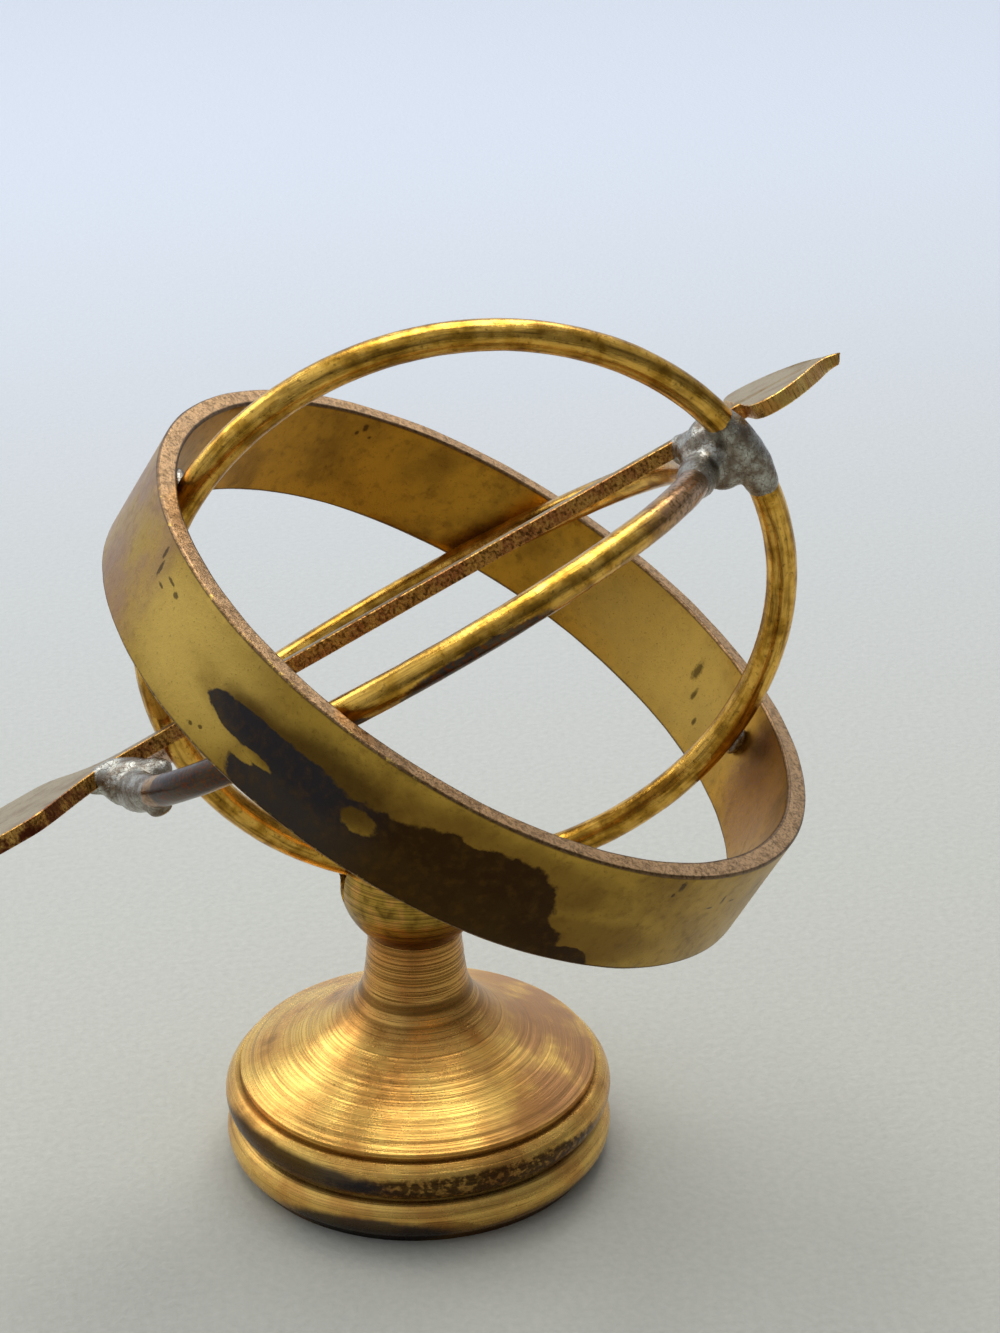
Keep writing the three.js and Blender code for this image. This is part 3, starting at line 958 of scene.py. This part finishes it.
def band_brass():
    """The strip: olive outside and warmer inside, stained, marked and rubbed, with a painted highlight at
    its left end and painted shade along its rims' corners.
    """
    look = Look("band_brass")
    turn = look.turn()
    radius = look.radius()
    outside = look.step(radius, BAND_OUTER - 0.5, BAND_OUTER - 0.3)
    inside = look.math("SUBTRACT", 1.0, outside)
    cloud = look.noise(7.0, detail=5, rough=0.6, seed=21)
    mottle = look.noise(1.1, detail=4, seed=22)
    pores = look.noise(0.26, detail=3, seed=23)
    grains = look.noise(0.13, detail=2, seed=28)
    colour = look.mix(OLIVE_BRASS, SHADE_BRASS, inside)
    colour = look.tint(colour, OLIVE_BROWN, cloud, 0.42, 0.7, 0.65)
    colour = look.tint(colour, OLIVE_BROWN, mottle, 0.5, 0.7, 0.4)
    colour = band_sheen(look, colour, turn, outside, inside, cloud)
    colour = look.tint(colour, DARK_BROWN, pores, 0.58, 0.7, 0.35)
    colour, burnt = heat_stain(look, colour, turn, outside, mottle)
    colour = handling_marks(look, colour, turn, outside, inside, pores)
    colour, rim = band_rims(look, colour, turn, radius, outside, pores)

    rough = look.scaled(mottle, 0.2, 0.27)
    rough = look.scaled(burnt, 0.1, rough)
    height = look.scaled(pores, 0.6, mottle)
    height = look.scaled(grains, look.scaled(rim, 0.6, 0.25), height)
    return look.finish(colour, rough, height, 0.045)


def plate_brass():
    """The arrow's flat faces: grey-brown sheet with a faint grain along it."""
    look = Look("plate_brass")
    cloud = look.noise(3.0, detail=4, seed=31)
    grain = look.noise((1.4, 0.2, 0.2), detail=4, seed=32)
    pores = look.noise(0.3, detail=3, seed=35)
    colour = look.tint(GREY_TAN, OLIVE_BROWN, cloud, 0.45, 0.7, 0.55)
    colour = look.tint(colour, MATT_BROWN, grain, 0.5, 0.7, 0.3)
    colour = look.tint(colour, OLIVE_BROWN, pores, 0.54, 0.68, 0.45)
    rough = look.scaled(grain, 0.2, 0.36)
    return look.finish(colour, rough, look.math("ADD", grain, pores), 0.04)


def sawn_brass():
    """The plate's sawn edge: saw strokes on the head painted bright gold as a painted highlight, and copper
    grains with painted glints and dirt along the shaft.
    """
    look = Look("sawn_brass")
    strokes = look.noise((0.22, 0.22, 2.2), detail=3, seed=41)
    grains = look.noise((0.3, 0.3, 0.4), detail=5, rough=0.7, seed=43)
    cloud = look.noise(2.2, detail=4, seed=42)
    head_start = ARROW_TIP - HEAD_LENGTH
    on_head = look.step(look.x, head_start - 1.0, head_start + 1.0)
    on_tail = look.step(look.x, ARROW_END + TAIL_LENGTH - 2.0, ARROW_END + TAIL_FLAT)
    # Painted highlight: the head's sawn edge is painted bright gold over its saw strokes.
    bright = look.tint(BRIGHT_GOLD, WARM_GOLD, cloud, 0.4, 0.6)
    bright = look.tint(bright, OLIVE_BROWN, strokes, 0.52, 0.66, 0.85)
    dull = look.tint(WARM_GOLD, COPPER, cloud, 0.4, 0.6)
    # Painted glints: pale brass specks on the sawn edge.
    dull = look.tint(dull, PALE_BRASS, grains, 0.46, 0.38, 0.85)
    dull = look.tint(dull, OLIVE_BROWN, grains, 0.48, 0.56, 0.8)
    dull = look.tint(dull, DARK_BROWN, grains, 0.56, 0.64, 0.7)
    dull = look.mix(dull, RED_BROWN, look.times(on_tail, look.step(cloud, 0.42, 0.55)))
    colour = look.mix(dull, bright, on_head)
    rough = look.scaled(grains, 0.25, 0.16)
    stroke_depth = look.scaled(on_head, 1.0, 0.3)
    height = look.scaled(strokes, stroke_depth, grains)
    return look.finish(colour, rough, height, 0.08)


def soft_solder():
    """Grey solder with painted glints of bright tin, and brown where flux burnt on it."""
    look = Look("soft_solder")
    cloud = look.noise(1.5, detail=4, seed=51)
    grain = look.noise(0.3, detail=5, rough=0.65, seed=52)
    crackle = look.lines(look.noise(0.8, detail=4, seed=53), 0.025)
    # Painted highlight: small glints of bright tin painted into the colour.
    glint = look.times(look.step(cloud, 0.42, 0.34), look.step(grain, 0.5, 0.6))
    colour = look.tint(SOLDER_GREY, SOLDER_BROWN, cloud, 0.42, 0.62, 0.8)
    colour = look.mix(colour, BRIGHT_TIN, glint)
    colour = look.mix(colour, SOLDER_BROWN, crackle, 0.7)
    colour = look.tint(colour, OLIVE_BROWN, grain, 0.54, 0.66, 0.5)
    rough = look.scaled(grain, 0.35, 0.12)
    height = look.math("SUBTRACT", grain, look.times(crackle, 0.3))
    return look.finish(colour, rough, height, 0.06)


def plain_floor():
    """Pale grey near the object, fading to a cooler and lighter grey behind it."""
    look = Look("plain_floor")
    look.shader.inputs["Metallic"].default_value = 0.0
    weave = look.noise(0.9, detail=4, seed=61)
    near = look.mix(FLOOR_DARK, FLOOR_PALE, weave)
    far = look.step(look.y, -40.0, 420.0)
    return look.finish(look.mix(near, FLOOR_FAR, far), 0.85, weave, 0.12)


# ---- assembly

ROW = Matrix.Identity(4)

# Burnt places on the polar hoop, as ovals: centre and half sizes, in radians round it and millimetres up
SCORCHED = [((-0.2, 0), (0.4, 3.0)), ((-2.8, 0), (0.4, 3.0)), ((3.0, 0), (0.35, 3.0))]
BURNT = [((-2.26, 0), (0.24, 3.0)), ((-1.3, -1.6), (0.26, 1.3)), ((-1.75, -1.6), (0.12, 0.9))]


def add_stand():
    foot, ball = [turned_brass()], [saddle_brass()]
    add_piece("pedestal_turned", pedestal_mesh(), ROW, foot, "stand", "pedestal")
    add_piece("saddle_turned", saddle_mesh(), ROW, ball, "stand", "saddle_ball")


def add_rings():
    plain = [rod_brass("meridian_brass", 5)]
    marked = [rod_brass("polar_brass", 8, SCORCHED, BURNT)]
    add_piece("meridian_rod", hoop_mesh(2), MERIDIAN, plain, "globe", "meridian_hoop")
    add_piece("polar_rod", hoop_mesh(7), COLURE, marked, "globe", "polar_hoop")
    add_piece("band_strip", band_mesh(), BAND, [band_brass()], "globe", "broad_band")


def add_arrow():
    """The arrow, whose two flat faces are its only faces with more than four corners."""
    metals = [sawn_brass(), plate_brass()]
    arrow = add_piece("arrow_plate", arrow_mesh(), ARROW, metals, "globe", "axis_arrow")
    for face in arrow.data.polygons:
        face.material_index = int(len(face.vertices) > 4)


def add_solder():
    metal = [soft_solder()]
    for node, shapes, seed in [
        ("upper_pole_solder", upper_pole_shapes(), 3), ("lower_pole_solder", lower_pole_shapes(), 5),
        ("band_solder_left", band_left_shapes(), 7), ("band_solder_right", band_right_shapes(), 9),
    ]:
        add_piece(node + "_run", solder_mesh(shapes, seed), ROW, metal, "globe", node, sharp=80)


# ---- floor, light and camera

def toward(azimuth, elevation):
    """The way to a light or camera that stands at that side and height; azimuth 0 is towards -Y."""
    a, e = math.radians(azimuth), math.radians(elevation)
    return Vector((math.sin(a) * math.cos(e), -math.cos(a) * math.cos(e), math.sin(e)))


def add_floor():
    half = 4.0                   # metres
    corners = [(-half, -half, 0), (half, -half, 0), (half, half, 0), (-half, half, 0)]
    mesh = bpy.data.meshes.new("floor")
    mesh.from_pydata(corners, [], [(0, 1, 2, 3)])
    local = mesh.attributes.new("local", "FLOAT_VECTOR", "POINT")
    local.data.foreach_set("vector", np.array(corners, np.float32).ravel())
    mesh.materials.append(plain_floor())
    floor = bpy.data.objects.new("floor", mesh)
    bpy.context.scene.collection.objects.link(floor)


def add_softbox(name, azimuth, elevation, distance, size, radiance, colour=(1, 1, 1)):
    """A square light that faces the object, with its distance and side in metres."""
    light = bpy.data.lights.new(name, "AREA")
    light.shape = "SQUARE"
    light.size = size
    light.energy = radiance * math.pi * size ** 2
    light.color = colour
    lamp = bpy.data.objects.new(name, light)
    bpy.context.scene.collection.objects.link(lamp)
    way = toward(azimuth, elevation)
    lamp.location = Vector(AIM) * MM + way * distance
    lamp.rotation_mode = "QUATERNION"
    lamp.rotation_quaternion = way.to_track_quat("Z", "Y")


def add_sky():
    """A soft room light, brightest high up behind the object and to its left, and dim by the camera."""
    world = bpy.data.worlds.new("studio")
    bpy.context.scene.world = world
    world.use_nodes = True
    nodes, links = world.node_tree.nodes, world.node_tree.links
    way = nodes.new("ShaderNodeTexCoord")
    toward_window = nodes.new("ShaderNodeVectorMath")
    toward_window.operation = "DOT_PRODUCT"
    links.new(way.outputs["Generated"], toward_window.inputs[0])
    toward_window.inputs[1].default_value = toward(-140, 40)
    share = nodes.new("ShaderNodeMapRange")
    share.interpolation_type = "SMOOTHSTEP"
    share.inputs["From Min"].default_value = -0.5
    share.inputs["From Max"].default_value = 0.9
    links.new(toward_window.outputs["Value"], share.inputs["Value"])
    mix = nodes.new("ShaderNodeMix")
    mix.data_type = "RGBA"
    links.new(share.outputs["Result"], mix.inputs["Factor"])
    mix.inputs[6].default_value = SKY_DIM
    mix.inputs[7].default_value = SKY_BRIGHT
    background = nodes["Background"]
    links.new(mix.outputs[2], background.inputs["Color"])
    background.inputs["Strength"].default_value = 1.0


def add_camera():
    """The camera, placed round AIM by its side, height and roll."""
    camera = bpy.data.objects.new("camera", bpy.data.cameras.new("camera"))
    bpy.context.scene.collection.objects.link(camera)
    bpy.context.scene.camera = camera
    way = toward(CAMERA_AZIMUTH, CAMERA_ELEVATION)
    camera.location = (Vector(AIM) + way * CAMERA_DISTANCE) * MM
    roll = Quaternion((0, 0, 1), math.radians(CAMERA_ROLL))
    camera.rotation_mode = "QUATERNION"
    camera.rotation_quaternion = (-way).to_track_quat("-Z", "Y") @ roll
    camera.data.lens = LENS
    camera.data.shift_x, camera.data.shift_y = SHIFT
    camera.data.clip_start = 0.01
    camera.data.clip_end = 20.0


add_stand()
add_rings()
add_arrow()
add_solder()
add_floor()
add_sky()
add_softbox("window_left", -130, 30, 0.8, 0.36, 2.6, (0.96, 0.98, 1.0))
add_softbox("window_right", 150, 40, 0.8, 0.22, 3.4, (1.0, 0.98, 0.95))
add_softbox("overhead", 178, 66, 1.0, 0.8, 3.5)
add_camera()
bpy.context.scene.view_settings.view_transform = "Standard"
